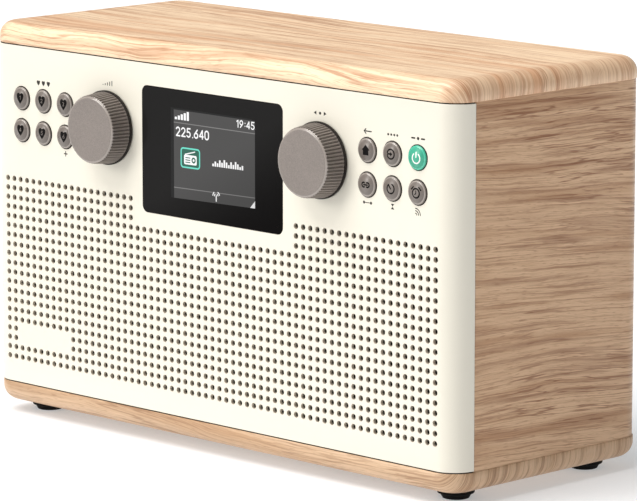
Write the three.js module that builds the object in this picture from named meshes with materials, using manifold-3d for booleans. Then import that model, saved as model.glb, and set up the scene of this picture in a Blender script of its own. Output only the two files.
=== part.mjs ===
// A tabletop radio: a wooden cabinet with a moulded front, two ribbed knobs, twelve round buttons,
// a flush colour display, two loudspeakers behind the grille and a telescopic aerial at the back.
// Millimetres, +Z up. +X is the radio's right as its user sees it, -Y is the way it faces.
// The origin is under the middle of the whole object, on the surface that it stands on.
import * as THREE from "three";
import { mergeVertices } from "three/addons/utils/BufferGeometryUtils.js";
import Module from "manifold-3d";

const wasm = await Module();
wasm.setup();

// Driving dimensions of the cabinet
const WIDTH = 270;
const DEPTH = 110.4;
const CORNER_RADIUS = 11;
const CAP_HEIGHT = 8.8;
const CAP_EDGE_RADIUS = 6.5;
const FRONT_HEIGHT = 143.5;
const REVEAL = 0.4; // the dark line above and below the front panel
const FRONT_WRAP = 10.7; // how far the front panel reaches round the corners
const WALL = 2.5; // moulded panels
const BOARD = 11; // side boards
const CAP_OVERHANG = 0.4;
const GAP = 0.3; // clearance between neighbouring pieces

// Driving dimensions of the controls
const KNOB_X = 61.5;
const KNOB_REAR_RADIUS = 14.9;
const KNOB_FRONT_RADIUS = 14.1;
const KNOB_REACH = 10.2;
const GROUP_X = 101; // middle of each group of six buttons
const BUTTON_PITCH = 13.5;
const BUTTON_RADIUS = 4.8;
const BUTTON_REACH = 1.2;
const CONTROL_ABOVE_FRONT_BASE = 114.75;
const WINDOW = { width: 81.4, height: 52.2, radius: 3, above: 108.4 };
const SHAFT_RADIUS = 3;
const CONTROL_BOARD = { width: 74, height: 32, x: 81.5 };

// Feet, loudspeakers and aerial
const FOOT = { radius: 7.4, height: 4.7, x: 118.7, inset: 17.7 };
const SPEAKER = { x: 72, above: 49, radius: 36, hole: 31 };
const REAR_RECESS = 3;
const AERIAL = { x: 100, below: 7.7, length: 186, tube: 3.4, wall: 0.45, step: 0.55, sections: 4 };
const AERIAL_REACH = 9.8;

// Heights
const CAP_Z = FOOT.height;
const BODY_Z = CAP_Z + CAP_HEIGHT;
const FRONT_Z = BODY_Z + REVEAL;
const FRONT_TOP = FRONT_Z + FRONT_HEIGHT;
const BODY_TOP = FRONT_TOP + REVEAL;
const CONTROL_Z = FRONT_Z + CONTROL_ABOVE_FRONT_BASE;
const WINDOW_Z = FRONT_Z + WINDOW.above;
const SPEAKER_Z = FRONT_Z + SPEAKER.above;
const AERIAL_Z = BODY_TOP - AERIAL.below;

// Depths, counted back from the face of the front panel
const GLASS_THICK = 2;
const BAFFLE = { front: 3.4, back: 6.4 };
const PCB = { front: 9.5, thick: 1.6 };
const REAR = { front: DEPTH - REAR_RECESS - WALL, back: DEPTH - REAR_RECESS };
const MAIN = { front: REAR.back - 17, thick: 1.6 };
const AERIAL_Y = DEPTH + AERIAL_REACH - AERIAL.tube - 0.2;
const INSIDE_X = WIDTH / 2 - CAP_OVERHANG - BOARD;

// The object's middle, front to back, is at y = 0
const FRONT_Y = KNOB_REACH - (KNOB_REACH + DEPTH + AERIAL_REACH) / 2;

const radio = new THREE.Group();
const cabinet = new THREE.Group();
cabinet.position.y = FRONT_Y;
radio.add(cabinet);

const FINISH = {
  cream: { color: 0xf4efe2, roughness: 0.45, metalness: 0 },
  oak: { color: 0xd9b68c, roughness: 0.55, metalness: 0 },
  taupe: { color: 0x8f857d, roughness: 0.5, metalness: 0 },
  green: { color: 0x46b98f, roughness: 0.4, metalness: 0 },
  black: { color: 0x1b1b1c, roughness: 0.5, metalness: 0 },
  glass: { color: 0x101113, roughness: 0.08, metalness: 0 },
  cloth: { color: 0x2a2826, roughness: 0.9, metalness: 0 },
  rubber: { color: 0x141414, roughness: 0.8, metalness: 0 },
  board: { color: 0x1d5a36, roughness: 0.6, metalness: 0 },
  steel: { color: 0x9a9da1, roughness: 0.3, metalness: 1 },
  chrome: { color: 0xd6d8da, roughness: 0.12, metalness: 1 },
  dark_steel: { color: 0x2c2d2f, roughness: 0.35, metalness: 1 },
  paper: { color: 0x232220, roughness: 0.85, metalness: 0 },
  ribbon: { color: 0xc98b3a, roughness: 0.5, metalness: 0 },
};
const materials = Object.fromEntries(
  Object.entries(FINISH).map(([name, finish]) => [name, new THREE.MeshStandardMaterial(finish)]),
);

function add(name, finish, geometry) {
  const mesh = new THREE.Mesh(geometry, materials[finish]);
  mesh.name = name;
  cabinet.add(mesh);
  return mesh;
}

// Booleans
function toSolid(geometry) {
  const bare = geometry.clone();
  bare.deleteAttribute("normal");
  bare.deleteAttribute("uv");
  const merged = mergeVertices(bare, 1e-4);
  const vertProperties = merged.attributes.position.array;
  const triVerts = new Uint32Array(merged.index.array);
  return new wasm.Manifold(new wasm.Mesh({ numProp: 3, vertProperties, triVerts }));
}

function toGeometry(solid) {
  const mesh = solid.getMesh();
  const geometry = new THREE.BufferGeometry();
  geometry.setAttribute("position", new THREE.BufferAttribute(mesh.vertProperties, 3));
  geometry.setIndex(new THREE.BufferAttribute(mesh.triVerts, 1));
  geometry.computeVertexNormals();
  return geometry;
}

function join(...pieces) {
  return toGeometry(pieces.map(toSolid).reduce((all, next) => all.add(next)));
}

function cut(base, ...tools) {
  return toGeometry(tools.map(toSolid).reduce((left, tool) => left.subtract(tool), toSolid(base)));
}

// Shapes
function roundedRectangle(width, height, radius, x = 0, y = 0) {
  const right = x + width / 2;
  const top = y + height / 2;
  const left = x - width / 2;
  const bottom = y - height / 2;
  const shape = new THREE.Shape();
  shape.moveTo(left + radius, bottom);
  shape.lineTo(right - radius, bottom);
  shape.absarc(right - radius, bottom + radius, radius, -Math.PI / 2, 0);
  shape.absarc(right - radius, top - radius, radius, 0, Math.PI / 2);
  shape.absarc(left + radius, top - radius, radius, Math.PI / 2, Math.PI);
  shape.absarc(left + radius, bottom + radius, radius, Math.PI, Math.PI * 1.5);
  return shape;
}

// A shape drawn in x and z, made solid from one depth to another
function upright(shape, front, back, curveSegments = 4) {
  const options = { depth: back - front, bevelEnabled: false, curveSegments };
  return new THREE.ExtrudeGeometry(shape, options).rotateX(Math.PI / 2).translate(0, back, 0);
}

// A block between two depths, centred on x and z
function block(width, height, front, back, x = 0, z = 0) {
  const geometry = new THREE.BoxGeometry(width, back - front, height);
  return geometry.translate(x, (front + back) / 2, z);
}

// A round bar along the depth axis
function bar(radius, front, back, x, z, sides = 16) {
  const geometry = new THREE.CylinderGeometry(radius, radius, back - front, sides);
  return geometry.translate(x, (front + back) / 2, z);
}

// A turned piece on the depth axis; the profile is a list of [radius, depth] from back to front
function turned(profile, x, z, sides) {
  const points = profile.map(([radius, depth]) => new THREE.Vector2(radius, depth)).reverse();
  return new THREE.LatheGeometry(points, sides).translate(x, 0, z);
}

// A round bar along the width axis, from one x to another
function crossBar(radius, from, to, y, z, sides = 12) {
  const geometry = new THREE.CylinderGeometry(radius, radius, Math.abs(to - from), sides);
  return geometry.rotateZ(Math.PI / 2).translate((from + to) / 2, y, z);
}

// A round bar along the height axis
function post(radius, low, high, x, y, sides = 12) {
  const geometry = new THREE.CylinderGeometry(radius, radius, high - low, sides);
  return geometry.rotateX(Math.PI / 2).translate(x, y, (low + high) / 2);
}

// A stack of outlines with the same number of points, closed at both ends
function skin(rings) {
  const count = rings[0].length;
  const positions = rings.flat().flatMap((point) => [point.x, point.y, point.z]);
  const index = [];
  for (let level = 0; level + 1 < rings.length; level++) {
    for (let i = 0; i < count; i++) {
      const next = (i + 1) % count;
      const low = level * count;
      const high = low + count;
      index.push(low + i, low + next, high + next, low + i, high + next, high + i);
    }
  }
  const last = (rings.length - 1) * count;
  for (const [a, b, c] of THREE.ShapeUtils.triangulateShape(rings[0], [])) {
    index.push(a, c, b);
  }
  for (const [a, b, c] of THREE.ShapeUtils.triangulateShape(rings.at(-1), [])) {
    index.push(last + a, last + b, last + c);
  }
  const geometry = new THREE.BufferGeometry();
  geometry.setAttribute("position", new THREE.Float32BufferAttribute(positions, 3));
  geometry.setIndex(index);
  geometry.computeVertexNormals();
  return geometry;
}

// The cabinet's outline seen from above, drawn in by an inset
function planOutline(inset, z) {
  const points = [];
  const x = WIDTH / 2 - CORNER_RADIUS;
  const radius = CORNER_RADIUS - inset;
  const steps = 6;
  const corners = [
    [-x, CORNER_RADIUS, Math.PI],
    [x, CORNER_RADIUS, -Math.PI / 2],
    [x, DEPTH - CORNER_RADIUS, 0],
    [-x, DEPTH - CORNER_RADIUS, Math.PI / 2],
  ];
  for (const [centreX, centreY, start] of corners) {
    for (let i = 0; i <= steps; i++) {
      const angle = start + ((Math.PI / 2) * i) / steps;
      const along = centreX + radius * Math.cos(angle);
      points.push(new THREE.Vector3(along, centreY + radius * Math.sin(angle), z));
    }
  }
  return points;
}

// A cap's rings from its joint with the sides (rise 0) to its outer face
function capRings(baseZ, direction) {
  const levels = [{ inset: 0, rise: 0 }];
  const steps = 5;
  for (let i = 0; i <= steps; i++) {
    const angle = ((Math.PI / 2) * i) / steps;
    levels.push({
      inset: CAP_EDGE_RADIUS * (1 - Math.cos(angle)),
      rise: CAP_HEIGHT - CAP_EDGE_RADIUS * (1 - Math.sin(angle)),
    });
  }
  const rings = levels.map(({ inset, rise }) => planOutline(inset, baseZ + direction * rise));
  return direction > 0 ? rings : rings.reverse();
}

// ---- Cabinet ----
add("top_cap", "oak", skin(capRings(BODY_TOP, 1)));
add("bottom_cap", "oak", skin(capRings(BODY_Z, -1)));

// A side board seen from above: square where it meets the front panel, rounded at the back
function sideBoard() {
  const outer = WIDTH / 2 - CAP_OVERHANG;
  const back = DEPTH - CAP_OVERHANG;
  const radius = CORNER_RADIUS - CAP_OVERHANG;
  const shape = new THREE.Shape();
  shape.moveTo(INSIDE_X, FRONT_WRAP + GAP);
  shape.lineTo(outer, FRONT_WRAP + GAP);
  shape.absarc(outer - radius, back - radius, radius, 0, Math.PI / 2);
  shape.lineTo(INSIDE_X, back);
  const options = { depth: BODY_TOP - BODY_Z, bevelEnabled: false, curveSegments: 6 };
  return new THREE.ExtrudeGeometry(shape, options).translate(0, 0, BODY_Z);
}
add("right_side_panel", "oak", sideBoard());
add("left_side_panel", "oak", toGeometry(toSolid(sideBoard()).mirror([1, 0, 0])));

// ---- Controls: where they are ----
const PRESETS = [1, 2, 3, 4, 5, 6].map((number) => `preset_${number}_button`);
const FUNCTIONS = ["home", "source", "standby", "pair", "timer", "alarm"].map((use) => `${use}_button`);
const BUTTONS = [...PRESETS, ...FUNCTIONS].map((name, i) => ({
  name,
  x: (i < 6 ? -GROUP_X : GROUP_X) + ((i % 3) - 1) * BUTTON_PITCH,
  z: CONTROL_Z + (i % 6 < 3 ? 0.5 : -0.5) * BUTTON_PITCH,
}));

// ---- Front panel: one moulding that wraps round both front corners ----
function wrapShape(offset) {
  const shape = new THREE.Shape();
  const half = WIDTH / 2 - offset;
  const radius = CORNER_RADIUS - offset;
  const behind = CORNER_RADIUS + 2 + offset;
  shape.moveTo(-half, behind);
  shape.lineTo(-half, CORNER_RADIUS);
  shape.absarc(-half + radius, CORNER_RADIUS, radius, Math.PI, Math.PI * 1.5);
  shape.absarc(half - radius, CORNER_RADIUS, radius, -Math.PI / 2, 0);
  shape.lineTo(half, behind);
  return shape;
}

function frontPanel() {
  const tall = { bevelEnabled: false, curveSegments: 8 };
  const outer = new THREE.ExtrudeGeometry(wrapShape(0), { ...tall, depth: FRONT_HEIGHT });
  const inner = new THREE.ExtrudeGeometry(wrapShape(WALL), { ...tall, depth: FRONT_HEIGHT + 2 });
  const beyond = block(WIDTH + 2, FRONT_HEIGHT + 2, FRONT_WRAP, DEPTH, 0, FRONT_HEIGHT / 2);
  const shell = cut(outer, inner.translate(0, 0, -1), beyond).translate(0, 0, FRONT_Z);
  const opening = roundedRectangle(WINDOW.width, WINDOW.height, WINDOW.radius, 0, WINDOW_Z);
  const buttonHoles = BUTTONS.map(({ x, z }) => bar(BUTTON_RADIUS + GAP, -1, WALL + 1, x, z));
  const shaftHoles = [-KNOB_X, KNOB_X].map((x) => bar(SHAFT_RADIUS + 0.6, -1, WALL + 1, x, CONTROL_Z));
  return cut(shell, upright(opening, -1, WALL + 1), ...buttonHoles, ...shaftHoles);
}
add("front_panel", "cream", frontPanel());

// ---- Display ----
const glassWidth = WINDOW.width - 2 * GAP;
const glassHeight = WINDOW.height - 2 * GAP;
const glass = roundedRectangle(glassWidth, glassHeight, WINDOW.radius - GAP, 0, WINDOW_Z);
add("display_window", "glass", upright(glass, 0, GLASS_THICK));
const MODULE = { width: 60, height: 40, front: GLASS_THICK + 0.4, back: 5, z: WINDOW_Z + 0.6 };
add("display_module", "black", block(MODULE.width, MODULE.height, MODULE.front, MODULE.back, 0, MODULE.z));

// ---- Inner frame: the baffle behind the front, with four posts that reach the back cover ----
const BODY_MIDDLE = (BODY_Z + BODY_TOP) / 2;
const INSIDE_HEIGHT = BODY_TOP - BODY_Z - 2 * GAP;
const POST = { radius: 4.2, inset: 6 };
const POSTS = [-1, 1].flatMap((side) =>
  [-1, 1].map((level) => ({
    x: side * (INSIDE_X - POST.inset),
    z: BODY_MIDDLE + level * (FRONT_HEIGHT / 2 - POST.inset),
  })),
);
const SCREW = { shank: 1.5, head: 3, length: 12, headHeight: 1.7 };
const SCREW_BORE = SCREW.shank + GAP;

function innerFrame() {
  const { front, back } = BAFFLE;
  const plate = block(2 * (INSIDE_X - 2 * GAP), INSIDE_HEIGHT, front, back, 0, BODY_MIDDLE);
  const posts = POSTS.map(({ x, z }) => bar(POST.radius, front, REAR.front - GAP, x, z));
  const boreFront = REAR.front - SCREW.length - 2;
  const bores = POSTS.map(({ x, z }) => bar(SCREW_BORE, boreFront, DEPTH, x, z, 12));
  const through = back + 1;
  const speakerHoles = [-1, 1].map((side) =>
    bar(SPEAKER.hole, 0, through, side * SPEAKER.x, SPEAKER_Z, 24),
  );
  const { width, height, x } = CONTROL_BOARD;
  const controlHoles = [-1, 1].map((side) =>
    block(width + 5, height + 4, 0, through, side * x, CONTROL_Z),
  );
  const displayHole = block(MODULE.width + 2, MODULE.height + 5, 0, through, 0, WINDOW_Z);
  return cut(join(plate, ...posts), ...bores, ...speakerHoles, ...controlHoles, displayHole);
}
add("inner_frame", "black", innerFrame());

// ---- Grille cloth: stretched behind the perforated part of the front ----
const CLOTH = { height: 83.6, front: WALL + 0.2, back: WALL + 0.6, z: FRONT_Z + 47 };
add(
  "grille_cloth",
  "cloth",
  block(2 * (INSIDE_X - 1), CLOTH.height, CLOTH.front, CLOTH.back, 0, CLOTH.z),
);

// ---- Knobs and their encoders ----
const ROTOR = { radius: 4.3, front: 4.6, back: 8 };
const SHAFT_FRONT = -7.4;
const SHAFT_BACK = 7.4;

function knob(x) {
  const hub = SHAFT_RADIUS + GAP;
  return turned(
    [
      [0, SHAFT_FRONT - GAP],
      [hub, SHAFT_FRONT - GAP],
      [hub, -0.8],
      [hub + 2, -0.8],
      [hub + 2, SHAFT_FRONT - GAP],
      [KNOB_FRONT_RADIUS - 1.8, SHAFT_FRONT - GAP],
      [KNOB_REAR_RADIUS - 1.8, -0.5],
      [KNOB_REAR_RADIUS, -0.5],
      [KNOB_FRONT_RADIUS, 0.9 - KNOB_REACH],
      [KNOB_FRONT_RADIUS - 0.4, 0.3 - KNOB_REACH],
      [KNOB_FRONT_RADIUS - 1.2, -KNOB_REACH],
      [0, -KNOB_REACH],
    ],
    x,
    CONTROL_Z,
    32,
  );
}

function encoder(x) {
  const bore = bar(ROTOR.radius + GAP, 0, ROTOR.back + GAP, x, CONTROL_Z, 20);
  return cut(block(12, 12, 3, PCB.front, x, CONTROL_Z), bore);
}

add("volume_knob", "taupe", knob(-KNOB_X));
add(
  "volume_shaft",
  "steel",
  turned(
    [
      [0, ROTOR.back],
      [ROTOR.radius, ROTOR.back],
      [ROTOR.radius, ROTOR.front],
      [SHAFT_RADIUS, ROTOR.front],
      [SHAFT_RADIUS, SHAFT_FRONT],
      [0, SHAFT_FRONT],
    ],
    -KNOB_X,
    CONTROL_Z,
    20,
  ),
);
add("volume_encoder", "black", encoder(-KNOB_X));

add("select_knob", "taupe", knob(KNOB_X));
add("select_shaft", "steel", bar(SHAFT_RADIUS, SHAFT_FRONT, SHAFT_BACK, KNOB_X, CONTROL_Z, 20));
const rotorDisc = bar(ROTOR.radius, ROTOR.front, ROTOR.back, KNOB_X, CONTROL_Z, 20);
const rotorHole = bar(SHAFT_RADIUS + GAP, 0, 10, KNOB_X, CONTROL_Z, 20);
add("select_rotor", "steel", cut(rotorDisc, rotorHole));
add("select_encoder", "black", encoder(KNOB_X));

// ---- Buttons: a domed cap, a flange behind the panel that keeps it in, and a stem ----
for (const { name, x, z } of BUTTONS) {
  const profile = [
    [0, 6],
    [2, 6],
    [2, 3.6],
    [BUTTON_RADIUS + 0.9, 3.6],
    [BUTTON_RADIUS + 0.9, WALL + 0.2],
    [BUTTON_RADIUS, WALL + 0.2],
    [BUTTON_RADIUS, -0.4],
    [BUTTON_RADIUS - 0.5, -0.8],
    [BUTTON_RADIUS - 1.4, -BUTTON_REACH],
    [0, -BUTTON_REACH],
  ];
  add(name, name === "standby_button" ? "green" : "taupe", turned(profile, x, z, 16));
}

// ---- Control boards: one behind each group, with six key switches ----
for (const [side, sign] of [["left", -1], ["right", 1]]) {
  const { width, height } = CONTROL_BOARD;
  const boardX = sign * CONTROL_BOARD.x;
  const board = block(width, height, PCB.front, PCB.front + PCB.thick, boardX, CONTROL_Z);
  const switches = BUTTONS.filter(({ x }) => Math.sign(x) === sign).map(({ x, z }) =>
    block(6, 6, PCB.front - 2.2, PCB.front + 0.2, x, z),
  );
  add(`${side}_control_board`, "board", join(board, ...switches));
}

// ---- Main board with the receiver module ----
const MAIN_BACK = MAIN.front + MAIN.thick;
const MAIN_BOARD = { width: 200, height: 70, z: FRONT_Z + 42 };
const mainParts = [
  block(14, 14, MAIN.front - 2, MAIN.front + 0.2, -30, MAIN_BOARD.z + 8),
  block(20, 12, MAIN.front - 6, MAIN.front + 0.2, -75, MAIN_BOARD.z + 12),
  bar(5, MAIN.front - 12, MAIN.front + 0.2, -62, MAIN_BOARD.z - 14, 12),
  bar(5, MAIN.front - 12, MAIN.front + 0.2, -78, MAIN_BOARD.z - 14, 12),
];
const mainPcb = block(MAIN_BOARD.width, MAIN_BOARD.height, MAIN.front, MAIN_BACK, 0, MAIN_BOARD.z);
add("main_board", "board", join(mainPcb, ...mainParts));
add("radio_module", "steel", block(32, 26, MAIN.front - 4.3, MAIN.front - GAP, 50, MAIN_BOARD.z + 12));

// ---- Ribbon from the display to the main board ----
const ribbonRoute = [
  [5.2, WINDOW_Z - 8],
  [9, WINDOW_Z - 10],
  [40, WINDOW_Z - 26],
  [MAIN.front - 6, MAIN_BOARD.z + 26],
  [MAIN.front - GAP, MAIN_BOARD.z + 26],
];
function ribbon() {
  const thick = 0.6;
  const shape = new THREE.Shape();
  ribbonRoute.forEach(([y, z], i) => (i ? shape.lineTo(y, z) : shape.moveTo(y, z)));
  [...ribbonRoute].reverse().forEach(([y, z]) => shape.lineTo(y, z - thick));
  const strip = new THREE.ExtrudeGeometry(shape, { depth: 20, bevelEnabled: false });
  return strip.rotateX(Math.PI / 2).rotateZ(Math.PI / 2).translate(-10, 0, 0);
}
add("display_ribbon", "ribbon", ribbon());

// ---- Loudspeakers ----
for (const [side, x] of [["left", -SPEAKER.x], ["right", SPEAKER.x]]) {
  const flange = BAFFLE.back + GAP;
  const basket = [
    [14, flange + 20],
    [20, flange + 20],
    [33, flange + 2.4],
    [SPEAKER.radius, flange + 2.4],
    [SPEAKER.radius, flange],
    [SPEAKER.hole - 1, flange],
    [SPEAKER.hole - 1, flange + 2],
    [18, flange + 18],
    [14, flange + 18],
    [14, flange + 20],
  ];
  const cone = [
    [0, flange + 12],
    [9, flange + 14.4],
    [27, flange + 2.2],
    [29, flange + 2.2],
    [29, flange + 1],
    [26.5, flange + 1],
    [9, flange + 12.6],
    [0, flange + 9.5],
  ];
  add(`${side}_speaker_basket`, "dark_steel", turned(basket, x, SPEAKER_Z, 24));
  add(`${side}_speaker_cone`, "paper", turned(cone, x, SPEAKER_Z, 24));
  add(`${side}_speaker_magnet`, "dark_steel", bar(22, flange + 20, flange + 34, x, SPEAKER_Z, 24));
}

// ---- Feet ----
for (const [end, y] of [["front", FOOT.inset], ["back", DEPTH - FOOT.inset]]) {
  for (const [side, sign] of [["left", -1], ["right", 1]]) {
    const profile = [
      [0, 0],
      [FOOT.radius - 2.2, 0],
      [FOOT.radius - 1.5, 0.9],
      [FOOT.radius - 0.5, 2],
      [FOOT.radius, 2.6],
      [FOOT.radius, FOOT.height],
      [0, FOOT.height],
    ].map(([radius, height]) => new THREE.Vector2(radius, height));
    const foot = new THREE.LatheGeometry(profile, 16).rotateX(Math.PI / 2);
    add(`foot_${end}_${side}`, "rubber", foot.translate(sign * FOOT.x, y, 0));
  }
}

// ---- Sockets on the main board, which show through the back cover ----
const SOCKET_Z = MAIN_BOARD.z - 24;
const SOCKET_BACK = REAR.back - 0.3;
const SOCKETS = [
  { name: "dc_inlet", x: 60, width: 11, height: 11, bore: 3.2, deep: 9.5, pin: 1 },
  { name: "usb_port", x: 35, width: 11, height: 5, slot: [8.6, 2.7], deep: 7 },
  { name: "aux_socket", x: 12, width: 8, height: 8, bore: 1.85, deep: 12 },
  { name: "headphone_socket", x: -12, width: 8, height: 8, bore: 1.85, deep: 12 },
];

function socket({ x, width, height, bore, slot, deep, pin }) {
  const body = block(width, height, MAIN_BACK + 0.1, SOCKET_BACK, x, SOCKET_Z);
  const bottom = SOCKET_BACK - deep;
  if (slot) {
    return cut(body, block(slot[0], slot[1], bottom, DEPTH, x, SOCKET_Z));
  }
  const hollow = cut(body, bar(bore, bottom, DEPTH, x, SOCKET_Z, 16));
  return pin ? join(hollow, bar(pin, bottom - 0.5, SOCKET_BACK - 1, x, SOCKET_Z, 10)) : hollow;
}
for (const item of SOCKETS) {
  add(item.name, "black", socket(item));
}

// ---- Back cover, with a rest for the folded aerial ----
function rearPanel() {
  const width = 2 * (INSIDE_X - GAP);
  const plate = block(width, INSIDE_HEIGHT, REAR.front, REAR.back, 0, BODY_MIDDLE);
  const restTop = AERIAL_Z - AERIAL.tube - GAP;
  const rest = block(8, 2, REAR.front + 1, AERIAL_Y + 1.5, AERIAL.x - 160, restTop - 1);
  const screwHoles = POSTS.map(({ x, z }) => bar(SCREW_BORE, REAR.front - 1, DEPTH, x, z, 12));
  const openings = SOCKETS.map(({ x, width: wide, height }) =>
    block(wide + 2 * GAP, height + 2 * GAP, REAR.front - 1, DEPTH, x, SOCKET_Z),
  );
  return cut(join(plate, rest), ...screwHoles, ...openings);
}
add("rear_panel", "black", rearPanel());

POSTS.forEach(({ x, z }, i) => {
  const head = REAR.back + 0.1;
  const profile = [
    [0, head + SCREW.headHeight],
    [SCREW.head * 0.7, head + SCREW.headHeight],
    [SCREW.head, head + 0.6],
    [SCREW.head, head],
    [SCREW.shank, head],
    [SCREW.shank, head - SCREW.length],
    [0, head - SCREW.length - 1],
  ];
  add(`rear_screw_${i + 1}`, "dark_steel", turned(profile, x, z, 12));
});

// ---- Aerial: a boss, a fork that swivels on it, a hinge pin and four telescoping sections ----
const FORK_BASE = DEPTH + 0.8;
const FORK_FLOOR = FORK_BASE + 1.6;
add("aerial_mount", "black", bar(6, REAR.back + 0.1, FORK_BASE - GAP, AERIAL.x, AERIAL_Z, 20));

function fork() {
  const base = bar(5.6, FORK_BASE, FORK_FLOOR, AERIAL.x, AERIAL_Z, 20);
  const ears = [-1, 1].map((side) =>
    block(7, 1.8, FORK_FLOOR - 0.4, AERIAL_Y + 3.4, AERIAL.x, AERIAL_Z + side * 2.9),
  );
  const hole = post(1 + GAP, AERIAL_Z - 8, AERIAL_Z + 8, AERIAL.x, AERIAL_Y);
  return cut(join(base, ...ears), hole);
}
add("aerial_swivel", "chrome", fork());
add("aerial_pin", "steel", post(1, AERIAL_Z - 3.8, AERIAL_Z + 3.8, AERIAL.x, AERIAL_Y));

function aerialSection(number) {
  const outer = AERIAL.tube - (number - 1) * AERIAL.step;
  const start = AERIAL.x - 9 - (number - 1) * 3;
  const end = AERIAL.x - AERIAL.length - (number - 1) * 1.5;
  const tube = crossBar(outer, start, end, AERIAL_Y, AERIAL_Z);
  const bore = crossBar(outer - AERIAL.wall, start - 2, end - 5, AERIAL_Y, AERIAL_Z);
  if (number === AERIAL.sections) {
    return join(tube, crossBar(2.6, end + 0.4, end - 4, AERIAL_Y, AERIAL_Z));
  }
  const sleeve = cut(tube, bore);
  if (number > 1) {
    return sleeve;
  }
  const tongue = block(12, 3, AERIAL_Y - 2.8, AERIAL_Y + 2.8, AERIAL.x - 6, AERIAL_Z);
  const eye = post(2.8, AERIAL_Z - 1.5, AERIAL_Z + 1.5, AERIAL.x, AERIAL_Y, 16);
  const hole = post(1 + GAP, AERIAL_Z - 8, AERIAL_Z + 8, AERIAL.x, AERIAL_Y);
  return cut(join(sleeve, tongue, eye), hole);
}
for (let number = 1; number <= AERIAL.sections; number++) {
  add(`aerial_section_${number}`, "chrome", aerialSection(number));
}

export default radio;
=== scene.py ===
"""The looks of a tabletop radio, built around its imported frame.

Shapes are drawn in millimetres in the radio's own frame and turned into metres as each piece is made.
Depth is counted back from the face of the front panel, as x across, depth, z up.
"""

from math import acos, atan2, copysign, cos, degrees, hypot, pi, radians, sin, sqrt

import bmesh
import bpy
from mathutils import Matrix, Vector
from mathutils.geometry import delaunay_2d_cdt


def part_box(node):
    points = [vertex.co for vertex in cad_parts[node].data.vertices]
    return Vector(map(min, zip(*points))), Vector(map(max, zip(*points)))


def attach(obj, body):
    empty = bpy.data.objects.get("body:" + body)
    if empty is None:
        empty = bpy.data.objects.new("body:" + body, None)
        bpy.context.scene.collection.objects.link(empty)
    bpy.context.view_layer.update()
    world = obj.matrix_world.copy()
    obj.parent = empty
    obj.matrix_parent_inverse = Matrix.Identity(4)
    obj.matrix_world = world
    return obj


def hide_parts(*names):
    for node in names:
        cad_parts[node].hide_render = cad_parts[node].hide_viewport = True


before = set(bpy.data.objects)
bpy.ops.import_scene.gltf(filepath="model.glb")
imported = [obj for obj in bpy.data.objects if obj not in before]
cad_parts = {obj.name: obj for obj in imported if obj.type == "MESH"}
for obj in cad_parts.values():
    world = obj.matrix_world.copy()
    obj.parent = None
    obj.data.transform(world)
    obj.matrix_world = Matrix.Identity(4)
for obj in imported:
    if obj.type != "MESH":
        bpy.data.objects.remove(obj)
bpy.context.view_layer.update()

MM = 0.001


# ---- The frame's places, in millimetres ----


def cad_box(node):
    low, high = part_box(node)
    return low / MM, high / MM


def cad_centre(node):
    low, high = cad_box(node)
    return (low + high) / 2


PANEL_LOW, PANEL_HIGH = cad_box("front_panel")
FRONT_Y = PANEL_LOW.y
CAP_LOW, CAP_HIGH = cad_box("top_cap")
BASE_LOW, BASE_HIGH = cad_box("bottom_cap")
DEPTH = CAP_HIGH.y - CAP_LOW.y
HALF_WIDTH = CAP_HIGH.x

CORNER_RADIUS = 11
CAP_FILLET = 6.5
BUTTON_NAMES = [f"preset_{i}" for i in range(1, 7)]
BUTTON_NAMES += ["home", "source", "standby", "pair", "timer", "alarm"]
SOCKETS = ["dc_inlet", "usb_port", "aux_socket", "headphone_socket"]


# ---- Camera, light and floor ----


CAMERA_FROM_FRONT = (1.30677, -1.24614, 0.40335)  # metres from the floor below the front's middle
CAMERA_TILT, CAMERA_TURN = 80, 45
CAMERA_LENS = 257.6


def add_object(name, data):
    added = bpy.data.objects.new(name, data)
    bpy.context.scene.collection.objects.link(added)
    return added


def add_camera():
    camera = add_object("camera", bpy.data.cameras.new("camera"))
    camera.data.lens = CAMERA_LENS
    camera.data.sensor_width = 36
    camera.data.clip_end = 30
    x, y, z = CAMERA_FROM_FRONT
    camera.location = (x, y + FRONT_Y * MM, z)
    camera.rotation_euler = (radians(CAMERA_TILT), 0, radians(CAMERA_TURN))
    bpy.context.scene.camera = camera


def add_sun(name, towards, strength, softness, colour):
    """A soft light from far away; towards is the direction from the radio to it."""
    light = bpy.data.lights.new(name, "SUN")
    light.energy = strength
    light.angle = radians(softness)
    light.color = colour
    lamp = add_object(name, light)
    lamp.rotation_euler = Vector(towards).to_track_quat("Z", "Y").to_euler()


def add_stage():
    scene = bpy.context.scene
    scene.view_settings.view_transform = "Standard"
    world = bpy.data.worlds.new("studio")
    scene.world = world
    world.use_nodes = True
    background = world.node_tree.nodes["Background"]
    feed(background, "Color", (1.0, 0.985, 0.96, 1))
    feed(background, "Strength", 0.25)
    add_sun("overhead", (-0.2, -0.35, 0.91), 2.95, 48, (1.0, 0.98, 0.95))
    add_sun("key", (-0.5, -0.8, 0.36), 1.24, 26, (1.0, 0.98, 0.94))

    mesh = bpy.data.meshes.new("floor")
    reach = 7
    corners = [(-reach, -reach, 0), (reach, -reach, 0), (reach, reach, 0), (-reach, reach, 0)]
    mesh.from_pydata(corners, [], [(0, 1, 2, 3)])
    floor = add_object("floor", mesh)
    material, _, shader = new_material("floor_paper", (0.66, 0.67, 0.69), 0.9)
    feed(shader, "Specular IOR Level", 0.1)
    feed(shader, "Emission Color", (0.97, 0.99, 1.0, 1))
    feed(shader, "Emission Strength", 0.36)
    mesh.materials.append(material)


# ---- Material nodes ----


def feed(made, socket, value):
    """Gives a node's input another node's output, or a constant."""
    if isinstance(value, bpy.types.NodeSocket):
        made.id_data.links.new(value, made.inputs[socket])
    else:
        made.inputs[socket].default_value = value


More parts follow.
